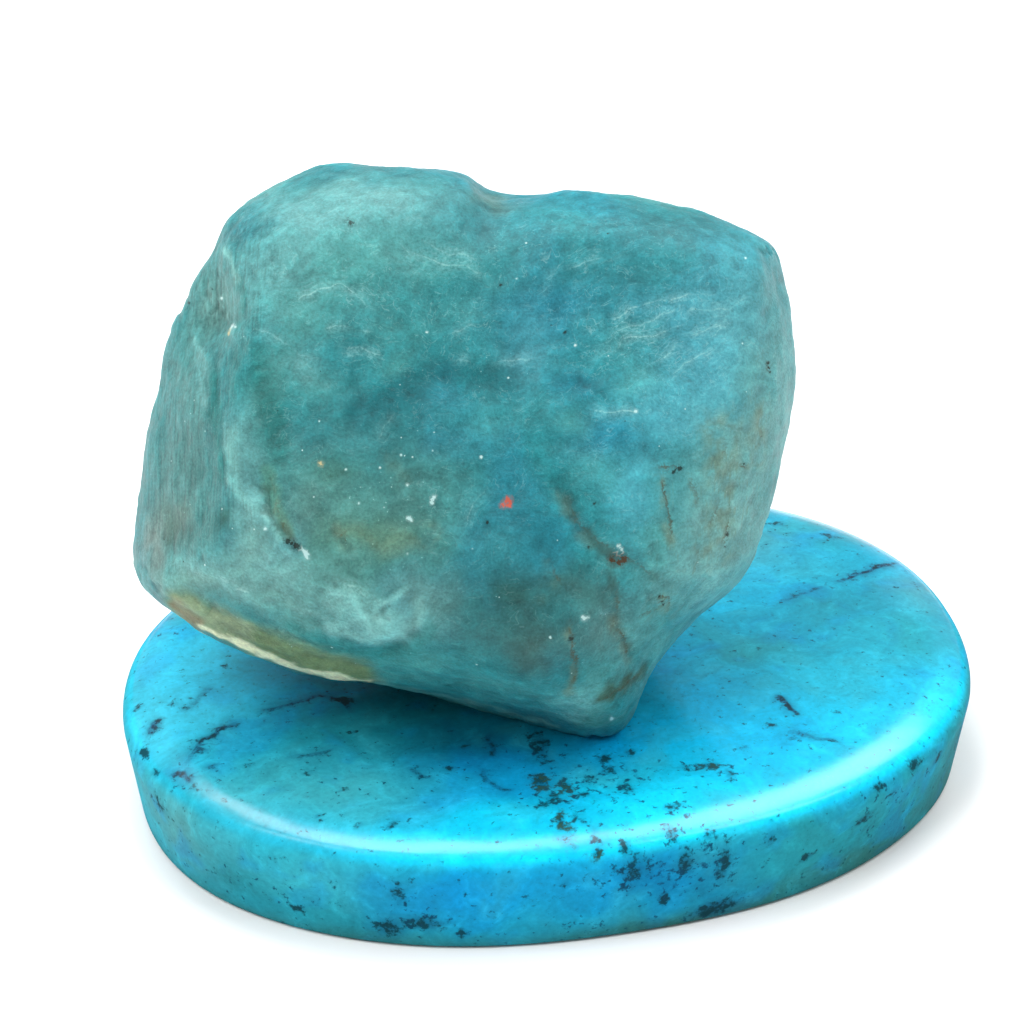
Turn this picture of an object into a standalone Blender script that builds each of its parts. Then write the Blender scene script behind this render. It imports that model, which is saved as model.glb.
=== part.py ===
"""Raw fluorite: a frosted blue-green lump that leans on a polished oval base of turquoise stone.

Metres, +Z up. The base is long along X, and the origin is at the middle of its underside.
"""
from math import cos, pi, radians, sin

import bmesh
import bpy
import numpy as np
from mathutils import Euler, Vector, noise

GROUP_NAME = "raw_fluorite_on_base"
NO_DISTANCE = 1e-7

# The oval base
BASE_LENGTH = 0.045
BASE_WIDTH = 0.035
BASE_THICKNESS = 0.0061
BASE_FULLNESS = 2.18     # 2 is a true ellipse, more is squarer
BASE_SIDES = 72
BASE_FOOT_INSET = 0.0006
BASE_TOP_ROUND = 0.0013
BASE_TOP_STEPS = 4
BASE_FOOT_ROUND = 0.0004
BASE_FOOT_STEPS = 2
BASE_COLOUR = (0.04, 0.45, 0.62)
BASE_ROUGHNESS = 0.15

# The lump's own axes: x runs across its broad face, y up the face and z out of it.
LUMP_CENTRE = (-0.0044, 0.0006, 0.0186)
FACE_TURN = radians(-15)     # the broad face looks this far round from -Y
FACE_TILT = radians(30)      # and this far up
CONTACT_GAP = 0.0003
LUMP_CUTS = 55
LUMP_KEEP = 0.215            # share of the fine faces that the lump keeps
LUMP_COLOUR = (0.07, 0.36, 0.40)
LUMP_ROUGHNESS = 0.5
SHARP_ANGLE = radians(50)    # edges sharper than this stay crisp in the shading

# The lump's rim, seen square on to the broad face, anticlockwise from the middle of the right side
RIM = (
    (0.0163, 0.0024), (0.0158, -0.0013), (0.0150, -0.0045), (0.0138, -0.0068), (0.0120, -0.0085),
    (0.0102, -0.0099), (0.0091, -0.0112), (0.0082, -0.0131), (0.0068, -0.0146), (0.0045, -0.0145),
    (-0.0008, -0.0127), (-0.0043, -0.0119), (-0.0083, -0.0115), (-0.0106, -0.0104), (-0.0132, -0.0092),
    (-0.0147, -0.0081), (-0.0165, -0.0067), (-0.0170, -0.0047), (-0.0164, 0.0000), (-0.0156, 0.0047),
    (-0.0155, 0.0069), (-0.0128, 0.0097), (-0.0121, 0.0112), (-0.0106, 0.0126), (-0.0071, 0.0142),
    (-0.0023, 0.0137), (-0.0002, 0.0135), (0.0013, 0.0126), (0.0034, 0.0125), (0.0064, 0.0129),
    (0.0106, 0.0124), (0.0132, 0.0113), (0.0153, 0.0101), (0.0158, 0.0082), (0.0162, 0.0054),
)
RIM_SMOOTHING = 12           # curve steps between two of the rim's points
FRONT_DEPTH = 0.0100         # the rim's plane to the front of the broad face
BACK_DEPTH = 0.0118          # and to the back
LUMP_FULLNESS = 2.7          # how squarely the rim turns into the front and the back

# Broken faces: turn to the right and tilt up from the way the broad face looks, in degrees, then the
# distance from the lump's centre.
FACETS = (
    (4, 8, 0.0090),          # broad face
    (-58, 8, 0.0136),        # scratched left side
    (-30, -42, 0.0126),      # pale lower left lobe
    (-32, -68, 0.0124),      # olive underside band
    (38, -44, 0.0140),       # lower right, beside the tip
    (62, -6, 0.0156),        # right side
    (20, 62, 0.0136),        # top right
    (-34, 52, 0.0148),       # top left
    (172, 14, 0.0106),       # broad back
    (-128, 22, 0.0128),      # back, left of the broad back
    (128, -8, 0.0132),       # back, right of it
    (160, 58, 0.0124),       # back of the top
    (-150, -38, 0.0118),     # back of the underside
)
FACET_SHARPNESS = 34         # higher leaves crisper edges between the faces

# Relief on the front, at (x, y): hollows with their half width and depth, negative for a swelling.
# It dies away towards the rim, over the last stretch of depth.
RELIEF_FADE = 0.002
HOLLOWS = (
    (-0.0122, 0.0066, 0.0015, 0.00060),     # pocket in the left ridge
    (-0.0120, 0.0022, 0.0022, -0.00035),    # the ridge below it
    (-0.0104, -0.0024, 0.0014, 0.00035),    # dark dent at the foot of the left side
    (0.0014, 0.0110, 0.0022, 0.00040),      # saddle under the notch in the rim
    (0.0014, 0.0062, 0.0034, 0.00035),      # the valley that runs down from it
    (-0.0060, 0.0050, 0.0040, -0.00030),    # dome on the left
    (0.0090, 0.0040, 0.0050, -0.00030),     # dome on the right
    (-0.0030, -0.0042, 0.0024, 0.00035),    # shallow pit field
    (0.0022, -0.0066, 0.0020, 0.00030),     # flat flake scar
    (0.0118, -0.0036, 0.0016, 0.00025),     # stained hollow near the right rim
    (0.0066, -0.0118, 0.0012, -0.00030),    # knob of the tip
)
# Hollows all over the back: turn, tilt, half width, depth
BACK_HOLLOWS = (
    (150, 30, 0.0040, 0.0008),
    (-165, -5, 0.0050, 0.0007),
    (-110, -15, 0.0035, 0.0006),
    (115, 35, 0.0030, 0.0006),
    (175, -30, 0.0030, -0.0006),
    (-140, 50, 0.0030, 0.0005),
)
# The pale lobe's outline, whose lower edge is a small step down to the olive band. It fades out upwards.
LOBE = ((-0.0180, -0.0050), (-0.0150, -0.0070), (-0.0121, -0.0084), (-0.0093, -0.0094), (-0.0062, -0.0101),
        (-0.0042, -0.0101), (-0.0030, -0.0088), (-0.0026, -0.0066), (-0.0040, -0.0020), (-0.0180, -0.0020))
LOBE_STEP = 0.00040
LOBE_EDGE_WIDTH = 0.0009
LOBE_FADE = (-0.0078, -0.0040)   # full below the first height, gone above the second
# The broken line from the middle of the face to the lower right, and the one that drops from it
CRACKS = (
    ((0.0050, -0.0019), (0.0053, -0.0032), (0.0066, -0.0043), (0.0075, -0.0054), (0.0098, -0.0068)),
    ((0.0075, -0.0054), (0.0071, -0.0075), (0.0074, -0.0092), (0.0080, -0.0104)),
)
CRACK_DEPTH = 0.00022
CRACK_HALF_WIDTH = 0.00060
# Lumpiness all over: size of the lumps and how far they rise
LUMPS = ((0.0080, 0.00042), (0.0034, 0.00022), (0.0016, 0.00010))


def clear_scene():
    for item in list(bpy.data.objects):
        bpy.data.objects.remove(item, do_unlink=True)


def new_collection(name):
    group = bpy.data.collections.new(name)
    bpy.context.scene.collection.children.link(group)
    return group


def new_material(name, colour, roughness):
    material = bpy.data.materials.new(name)
    material.use_nodes = True
    shader = material.node_tree.nodes["Principled BSDF"]
    shader.inputs["Base Color"].default_value = (*colour, 1.0)
    shader.inputs["Roughness"].default_value = roughness
    shader.inputs["Metallic"].default_value = 0.0
    return material


def add_object(name, mesh, group, material):
    mesh.materials.append(material)
    mesh.shade_smooth()
    mesh.set_sharp_from_angle(angle=SHARP_ANGLE)
    item = bpy.data.objects.new(name, mesh)
    group.objects.link(item)
    return item


def superellipse(length, width, fullness, angle):
    """Point of an oval at an angle that runs from 0 to 2 pi."""
    across, along = cos(angle), sin(angle)
    x = length / 2 * abs(across) ** (2 / fullness) * (1 if across > 0 else -1)
    y = width / 2 * abs(along) ** (2 / fullness) * (1 if along > 0 else -1)
    return x, y


def round_rim_at(mesh, height, width, steps):
    """Round the edges that lie flat at this height."""
    flat = [edge for edge in mesh.edges if all(abs(v.co.z - height) < NO_DISTANCE for v in edge.verts)]
    bmesh.ops.bevel(mesh, geom=flat, offset=width, segments=steps, profile=0.5, affect="EDGES")


def make_base(group):
    mesh = bmesh.new()
    disc = bmesh.ops.create_circle(mesh, cap_ends=True, segments=BASE_SIDES, radius=1.0)
    for step, vertex in enumerate(disc["verts"]):
        x, y = superellipse(BASE_LENGTH, BASE_WIDTH, BASE_FULLNESS, 2 * pi * step / BASE_SIDES)
        vertex.co = (x, y, BASE_THICKNESS)
    foot = bmesh.ops.extrude_face_region(mesh, geom=mesh.faces[:])
    for item in foot["geom"]:
        if isinstance(item, bmesh.types.BMVert):
            item.co.z = 0.0
    round_rim_at(mesh, BASE_THICKNESS, BASE_TOP_ROUND, BASE_TOP_STEPS)
    for vertex in mesh.verts:
        if vertex.co.z == 0.0:
            vertex.co.x *= 1 - 2 * BASE_FOOT_INSET / BASE_LENGTH
            vertex.co.y *= 1 - 2 * BASE_FOOT_INSET / BASE_WIDTH
    round_rim_at(mesh, 0.0, BASE_FOOT_ROUND, BASE_FOOT_STEPS)
    bmesh.ops.recalc_face_normals(mesh, faces=mesh.faces[:])
    solid = bpy.data.meshes.new("oval_stone_base")
    mesh.to_mesh(solid)
    mesh.free()
    stone = new_material("turquoise_stone", BASE_COLOUR, BASE_ROUGHNESS)
    add_object("oval_stone_base", solid, group, stone)


def direction(turn, tilt):
    """Unit vector in the lump's axes, turned to the right and tilted up from straight out of the face."""
    turn, tilt = radians(turn), radians(tilt)
    return np.array((sin(turn) * cos(tilt), sin(tilt), cos(turn) * cos(tilt)))


def rim_curve():
    """The rim as angles and radii, from a smooth closed curve through its points."""
    points = np.array(RIM)
    before, after, beyond = (np.roll(points, shift, axis=0) for shift in (1, -1, -2))
    curve = []
    for t in np.arange(RIM_SMOOTHING) / RIM_SMOOTHING:
        curve.append(0.5 * (2 * points + (after - before) * t
                            + (2 * before - 5 * points + 4 * after - beyond) * t ** 2
                            + (3 * points - before - 3 * after + beyond) * t ** 3))
    curve = np.concatenate(curve)
    angles = np.arctan2(curve[:, 1], curve[:, 0])
    order = np.argsort(angles)
    return angles[order], np.hypot(curve[:, 0], curve[:, 1])[order]


def body_radius(rays):
    """Distance from the centre to a pillow shape that has the lump's rim."""
    angles, radii = rim_curve()
    rim = np.interp(np.arctan2(rays[:, 1], rays[:, 0]), angles, radii, period=2 * pi)
    depth = np.where(rays[:, 2] > 0, FRONT_DEPTH, BACK_DEPTH)
    across = np.hypot(rays[:, 0], rays[:, 1]) / rim
    return (across ** LUMP_FULLNESS + np.abs(rays[:, 2] / depth) ** LUMP_FULLNESS) ** (-1 / LUMP_FULLNESS)


def cut_facets(rays, radius):
    """Cut the pillow back to the broken faces, with a slightly rounded edge between them."""
    total = radius ** -FACET_SHARPNESS
    for turn, tilt, distance in FACETS:
        facing = np.maximum(rays @ direction(turn, tilt), NO_DISTANCE)
        total += (facing / distance) ** FACET_SHARPNESS
    return total ** (-1 / FACET_SHARPNESS)


def bump(distance, half_width):
    return np.exp(-(distance / half_width) ** 2)


def distance_to_line(places, line):
    """Distance from each place to a line of points."""
    nearest = np.full(len(places), np.inf)
    for start, end in zip(np.array(line[:-1]), np.array(line[1:])):
        run = end - start
        offset = places - start
        share = np.clip(offset @ run / (run @ run), 0, 1)
        nearest = np.minimum(nearest, np.hypot(*(offset - share[:, None] * run).T))
    return nearest


def inside(places, outline):
    """Which places lie inside a closed outline."""
    within = np.zeros(len(places), dtype=bool)
    for (x0, y0), (x1, y1) in zip(outline, outline[1:] + outline[:1]):
        if y0 == y1:
            continue
        crossing = x0 + (places[:, 1] - y0) * (x1 - x0) / (y1 - y0)
        spans = (places[:, 1] > min(y0, y1)) & (places[:, 1] <= max(y0, y1))
        within ^= spans & (places[:, 0] < crossing)
    return within


def front_relief(points):
    """How far each point of the front sinks in: hollows, the lobe's step and the cracks."""
    places = points[:, :2]
    sink = np.zeros(len(points))
    for x, y, half_width, depth in HOLLOWS:
        sink += depth * bump(np.hypot(places[:, 0] - x, places[:, 1] - y), half_width)
    reach = distance_to_line(places, LOBE + LOBE[:1]) * np.where(inside(places, LOBE), 1, -1)
    full, gone = LOBE_FADE
    fade = np.clip((gone - places[:, 1]) / (gone - full), 0, 1)
    sink -= LOBE_STEP * fade * np.clip(0.5 + reach / LOBE_EDGE_WIDTH, 0, 1)
    for line in CRACKS:
        sink += CRACK_DEPTH * bump(distance_to_line(places, line), CRACK_HALF_WIDTH)
    return sink * np.clip(points[:, 2] / RELIEF_FADE, 0, 1)


def back_relief(points):
    """How far each point of the back sinks in."""
    sink = np.zeros(len(points))
    for turn, tilt, half_width, depth in BACK_HOLLOWS:
        away = np.linalg.norm(points - direction(turn, tilt) * BACK_DEPTH, axis=1)
        sink += depth * bump(away, half_width)
    return sink * np.clip(-points[:, 2] / RELIEF_FADE, 0, 1)


def lumpiness(points):
    """Uneven rise and fall of a broken surface."""
    rise = np.zeros(len(points))
    for size, height in LUMPS:
        rise += [height * noise.noise(Vector(point / size)) for point in points]
    return rise


def lump_radius(rays, down):
    """Distance from the centre to the surface along each ray, with a flat where the lump rests."""
    radius = cut_facets(rays, body_radius(rays))
    points = rays * radius[:, None]
    radius += lumpiness(points) - front_relief(points) - back_relief(points)
    rest_depth = LUMP_CENTRE[2] - BASE_THICKNESS - CONTACT_GAP
    facing = np.maximum(rays @ down, NO_DISTANCE)
    return np.minimum(radius, rest_depth / facing)


def make_lump(group):
    mesh = bmesh.new()
    bmesh.ops.create_cube(mesh, size=2.0)
    bmesh.ops.subdivide_edges(mesh, edges=mesh.edges[:], cuts=LUMP_CUTS, use_grid_fill=True)
    # Blow the cube up into a ball, its grid first spread so that it steps by equal angles.
    rays = np.array([v.co for v in mesh.verts])
    rays = np.tan(rays * pi / 4)
    rays /= np.linalg.norm(rays, axis=1)[:, None]
    turned = Euler((pi / 2 - FACE_TILT, 0.0, FACE_TURN))
    down = np.array(turned.to_matrix().transposed() @ Vector((0.0, 0.0, -1.0)))
    radius = lump_radius(rays, down)
    for vertex, ray, length in zip(mesh.verts, rays, radius):
        vertex.co = ray * length
    solid = bpy.data.meshes.new("raw_fluorite")
    mesh.to_mesh(solid)
    mesh.free()
    fluorite = new_material("frosted_fluorite", LUMP_COLOUR, LUMP_ROUGHNESS)
    lump = add_object("raw_fluorite", solid, group, fluorite)
    lump.location = LUMP_CENTRE
    lump.rotation_euler = turned
    fewer_faces = lump.modifiers.new("fewer faces", "DECIMATE")
    fewer_faces.ratio = LUMP_KEEP


clear_scene()
parts = new_collection(GROUP_NAME)
make_base(parts)
make_lump(parts)
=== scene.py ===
"""Raw fluorite on an oval turquoise base: the finish of both stones, the studio and the camera.

Each stone's visible mesh is fine enough to carry its broad zones of colour, and the distances to its veins,
stains, threads and specks, as point attributes. Node materials draw those fine marks from the distances, and
add the grain and the relief finer than the mesh.
The lump's zones are laid on in its own axes, in millimetres: x runs across its broad face, y up the face and
z out of it. The base's are in millimetres from the middle of its underside.
"""

from math import atan2, cos, degrees, pi, radians, sin

import bmesh
import bpy
import numpy as np
from mathutils import Euler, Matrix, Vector, noise


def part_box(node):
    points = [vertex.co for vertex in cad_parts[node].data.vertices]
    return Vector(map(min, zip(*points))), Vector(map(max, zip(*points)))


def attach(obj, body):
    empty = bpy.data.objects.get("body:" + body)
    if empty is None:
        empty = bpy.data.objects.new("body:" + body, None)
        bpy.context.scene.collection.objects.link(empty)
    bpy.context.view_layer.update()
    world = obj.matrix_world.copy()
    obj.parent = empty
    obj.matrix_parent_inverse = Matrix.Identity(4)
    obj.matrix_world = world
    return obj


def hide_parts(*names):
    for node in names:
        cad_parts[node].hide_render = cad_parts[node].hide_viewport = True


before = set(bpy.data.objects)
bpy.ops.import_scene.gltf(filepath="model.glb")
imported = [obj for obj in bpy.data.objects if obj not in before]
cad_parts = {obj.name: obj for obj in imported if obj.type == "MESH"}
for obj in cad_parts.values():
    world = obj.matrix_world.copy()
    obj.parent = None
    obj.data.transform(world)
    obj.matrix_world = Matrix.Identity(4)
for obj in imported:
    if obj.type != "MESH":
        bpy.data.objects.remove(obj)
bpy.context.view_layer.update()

MM = 0.001

# The lump's own axes, as in the part
LUMP_CENTRE = (-0.0044, 0.0006, 0.0186)
FACE_TURN = radians(-15)
FACE_TILT = radians(30)
TURNED = Euler((pi / 2 - FACE_TILT, 0, FACE_TURN))
TO_WORLD = np.array(TURNED.to_matrix())


def srgb(red, green, blue):
    """Linear colour from the usual 0 to 255 values."""
    return tuple(((c / 255 + 0.055) / 1.055) ** 2.4 if c > 10.31 else c / 255 / 12.92
                 for c in (red, green, blue))


# ---- masks over many places

FAR = 9.0  # stands for out of reach, in millimetres or in radii
LINE_TAPER = 0.25  # share of a line over which its strength grows at each end


def lump_places(points):
    """World points, in metres, as places in the lump's axes, in millimetres."""
    return (points - np.array(LUMP_CENTRE)) @ TO_WORLD / MM


def smooth(value, low, high):
    """0 below low, 1 above high and a smooth step between; low above high turns it round."""
    share = np.clip((value - low) / (high - low), 0, 1)
    return share * share * (3 - 2 * share)


def stretch_distance(places, start, end):
    """Distance in the x and y plane to a stretch of a line, the side of it, and the share along it."""
    run = end - start
    offset = places[:, :2] - start
    share = np.clip(offset @ run / (run @ run), 0, 1)
    distance = np.hypot(*(offset - share[:, None] * run).T)
    return distance, np.where(run[0] * offset[:, 1] > run[1] * offset[:, 0], 1, -1), share


def line_distance(places, line):
    """Distance in the x and y plane from each place to a line of points."""
    corners = np.array(line)
    return np.min([stretch_distance(places, *ends)[0] for ends in zip(corners[:-1], corners[1:])], axis=0)


def line_offset(places, lines, reach):
    """Signed distance to the nearest line, and its strength, which fades at the reach and at the ends."""
    nearest = np.full(len(places), FAR)
    signed = np.full(len(places), FAR)
    strength = np.zeros(len(places))
    for line, power in lines:
        corners = np.array(line)
        lengths = np.hypot(*np.diff(corners, axis=0).T)
        passed = 0
        for start, end, length in zip(corners[:-1], corners[1:], lengths):
            distance, side, share = stretch_distance(places, start, end)
            covered = (passed + share * length) / lengths.sum()
            closer = distance < nearest
            nearest = np.where(closer, distance, nearest)
            signed = np.where(closer, distance * side, signed)
            taper = smooth(np.minimum(covered, 1 - covered), 0, LINE_TAPER)
            strength = np.where(closer, power * taper, strength)
            passed += length
    return signed, strength * np.clip(1 - nearest / reach, 0, 1)


def tent(places, lines):
    """Highest over the lines of strength on the line, falling evenly to nothing at its half width."""
    best = np.zeros(len(places))
    for line, width, strength in lines:
        best = np.maximum(best, strength * np.clip(1 - line_distance(places, line) / width, 0, 1))
    return best


def blob(places, centre, radii):
    """1 at the centre, fading to nothing at about one and a half radii."""
    offset = (places[:, :len(radii)] - np.array(centre)) / np.array(radii)
    return np.exp(-(offset ** 2).sum(axis=1))


def gathered(places, blobs):
    """Highest blob over each place."""
    return np.max([share * blob(places, centre, radii) for centre, radii, share in blobs], axis=0)


def summed(places, blobs):
    """All the blobs over each place together."""
    return sum(share * blob(places, centre, radii) for centre, radii, share in blobs)


def cloud(places, size, seed, detail=3):
    """Soft noise between about -1 and 1, whose largest lumps have this size."""
    shift = Vector((seed * 7.3, seed * 3.1, seed * 5.7))
    return np.array([noise.fractal(Vector(p / size) + shift, 1.0, 2.0, detail) for p in places])


def clouds(places, size, seed):
    """Three soft noises side by side, to carry places about."""
    return np.stack([cloud(places, size, seed + axis) for axis in range(3)], axis=1)


class Paint:
    """A colour for every place, laid on layer by layer."""

    def __init__(self, count, ground):
        self.colours = np.tile(ground, (count, 1))

    def lay(self, colour, share):
        self.colours += (np.array(colour) - self.colours) * np.clip(share, 0, 1)[:, None]

    def lay_zones(self, places, zones, mask):
        for colour, centre, radii, share in zones:
            self.lay(colour, blob(places, centre, radii) * share * mask)

    def lay_lines(self, places, lines, full, mask):
        for colour, line, width, share in lines:
            self.lay(colour, smooth(1 - line_distance(places, line) / width, 0, full) * share * mask)


# ---- mesh data in and out


def vectors(items, name):
    """The named vector of each item, as rows."""
    rows = np.empty(len(items) * 3)
    items.foreach_get(name, rows)
    return rows.reshape(-1, 3)


def new_object(name, data):
    """An object of this data, in the scene."""
    made = bpy.data.objects.new(name, data)
    bpy.context.scene.collection.objects.link(made)
    return made


def set_points(mesh, points):
    mesh.vertices.foreach_set("co", points.ravel())
    mesh.update()


def keep(mesh, name, values, kind="FLOAT", field="value"):
    """Store one value for each point, as a point attribute that the nodes can read."""
    layer = mesh.attributes.new(name, kind, "POINT")
    layer.data.foreach_set(field, values.astype(np.float32).ravel())


def keep_places(mesh, name, places):
    keep(mesh, name, places, "FLOAT_VECTOR", "vector")


def keep_colours(mesh, name, colours):
    keep(mesh, name, np.c_[colours, np.ones(len(colours))], "FLOAT_COLOR", "color")


def bulge(mesh, points, normals, rounds):
    """How far each point stands out from its neighbourhood, in millimetres: ridges above 0, grooves below."""
    ends = np.empty(len(mesh.edges) * 2, dtype=np.int64)
    mesh.edges.foreach_get("vertices", ends)
    first, second = ends.reshape(-1, 2).T
    both = np.r_[first, second]
    count = np.bincount(both, minlength=len(points))[:, None]
    mean = points
    for _ in range(rounds):
        across = np.r_[mean[second], mean[first]]
        sums = [np.bincount(both, across[:, axis], len(points)) for axis in range(3)]
        mean = np.stack(sums, axis=1) / count
    return ((points - mean) * normals).sum(axis=1) / MM


# ---- the lump's mesh

LUMP_GRID = 0.2 * MM  # spacing of the fine mesh
FACET_MELT = 10  # smoothing steps that melt the solid's triangles together
CONTACT_DROP = 0.27 * MM  # the real stones touch, so the foot of the lump closes the solids' gap
CONTACT_REACH = 1.5 * MM  # height over which the drop dies away

POCKET = ((-12, 6.8, 3.5), (1.5, 1.8, 3))

# Raised and sunk lines of the broad face: line, half width and strength
CRESTS = (
    (((-11.5, 9.6), (-10.9, 8.2), (-10.7, 6.6), (-11, 5.4)), 0.9, 0.2),
    (((-13.3, 5.4), (-12.5, 4.2), (-12.3, 2.4)), 0.5, 0.1),
    (((-10.9, -1.6), (-10.4, -2.6), (-9.6, -3.2), (-8.9, -4.1), (-8.4, -5)), 0.8, 0.2),
    (((-13, -5.8), (-11.5, -6.4), (-9.8, -7.4), (-8.4, -8.2)), 0.6, 0.12),
    (((-7, -6.7), (-5.6, -7), (-4.9, -7.8), (-4.5, -8.6)), 0.6, 0.14),
    (((-3.9, -7.9), (-3.2, -7.4), (-2.7, -7)), 0.5, 0.12),
)
CREASES = (
    (((-12.5, -8.2), (-9.5, -9.2), (-6.5, -9.9), (-4.2, -10.1), (-2.8, -9.6), (-2.1, -8.2)), 0.8, 0.2),
    (((-9.3, -2.4), (-9, -3.8), (-8.1, -4.8)), 0.6, 0.25), (((-5.9, -4.1), (-5.3, -4.9)), 0.4, 0.15),
    (((4.9, -2.2), (5.5, -3.8), (6.5, -4.8), (7.4, -5.5)), 0.6, 0.2),
    (((7.2, -6.2), (7.3, -8.5), (8.1, -10.4)), 0.5, 0.12),
)
# Fuller places along the outline: centre, radii and height
SWELLS = (
    ((-13.9, 6.3, -1), (2.2, 2.8, 6), 0.36), ((-15.4, 0.2, -1), (1.5, 1.6, 6), 0.22),
    ((-9.3, 12.2, -1), (2, 1.6, 6), 0.22), ((-1.9, 13.2, -1), (3.2, 1.6, 6), 0.26),
    ((7.2, 12.4, -1), (2.4, 1.4, 6), 0.14),
)

# Waves of the frosted skin: size, seed, detail and height
SKIN_WAVES = ((2.2, 1, 4, 0.06), (0.8, 2, 3, 0.04), (0.5, 12, 1, 0.016))
CHIP_DEPTH = 0.16  # along the solid's ridges and in the pocket
LINE_HEIGHT = 0.2  # of a crest or crease at full strength
LINE_FULL = 0.3  # the strength that counts as full


def fine_copy(node, name):
    """The node's solid as an even, finely divided mesh with its triangles melted together."""
    piece = new_object(name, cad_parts[node].data.copy())
    even = piece.modifiers.new("even grid", "REMESH")
    even.mode = "VOXEL"
    even.voxel_size = LUMP_GRID
    even.use_smooth_shade = True
    melt = piece.modifiers.new("melt facets", "SMOOTH")
    melt.factor = 0.5
    melt.iterations = FACET_MELT
    fine = bpy.data.meshes.new_from_object(piece.evaluated_get(bpy.context.evaluated_depsgraph_get()))
    piece.modifiers.clear()
    piece.data = fine
    return piece


def grain_lump(piece):
    """Move the fine mesh's points: frosted skin, chipped ridges, face lines, pits and the closed contact."""
    mesh = piece.data
    points = vectors(mesh.vertices, "co")
    normals = vectors(mesh.vertex_normals, "vector")
    places = lump_places(points)
    front = smooth(places[:, 2], -1, 2.5)
    astray = places + 0.35 * clouds(places, 1.6, seed=20)
    rise = np.zeros(len(places))
    for size, seed, detail, height in SKIN_WAVES:
        rise += height * cloud(places, size, seed, detail)
    ridge = smooth(bulge(mesh, points, normals, rounds=8), 0.01, 0.06)
    rise -= CHIP_DEPTH * ridge * smooth(cloud(places, 1.3, seed=8), 0.1, 0.55)
    rise -= CHIP_DEPTH * blob(places, *POCKET) * np.abs(cloud(places, 0.8, seed=3))
    rise += smooth(tent(astray, CRESTS), 0, LINE_FULL) * LINE_HEIGHT * front
    rise -= smooth(tent(astray, CREASES), 0, LINE_FULL) * LINE_HEIGHT * front
    rise += summed(places, SWELLS)
    points += normals * rise[:, None] * MM
    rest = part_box("raw_fluorite")[0].z
    points[:, 2] -= CONTACT_DROP * smooth(points[:, 2], rest + CONTACT_REACH, rest)
    set_points(mesh, points)


# ---- the lump's colours

TEAL = srgb(30, 116, 121)
GREEN = srgb(28, 107, 104)
DEEP = srgb(2, 88, 96)
BLUE = srgb(28, 115, 132)
LAGOON = srgb(48, 129, 134)
SEA = srgb(72, 144, 141)
AQUA = srgb(68, 147, 160)
STEEL = srgb(46, 107, 113)
PALE = srgb(93, 146, 145)
MIST = srgb(101, 156, 154)
MINT = srgb(102, 154, 150)
FOAM = srgb(116, 172, 168)
GREY = srgb(72, 122, 120)
PEARL = srgb(108, 130, 125)
TAUPE = srgb(82, 112, 104)
SAGE = srgb(66, 120, 107)
SLATE = srgb(34, 86, 84)
UMBER = srgb(52, 91, 88)
OLIVE = srgb(104, 124, 88)
REED = srgb(128, 144, 112)
CREAM = srgb(214, 214, 178)
RED_BROWN = srgb(124, 84, 58)
TAN = srgb(100, 116, 94)
RUST = srgb(74, 62, 30)
FROST = srgb(168, 212, 208)
DUST = srgb(66, 98, 88)
PEAT = srgb(62, 74, 48)

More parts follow.
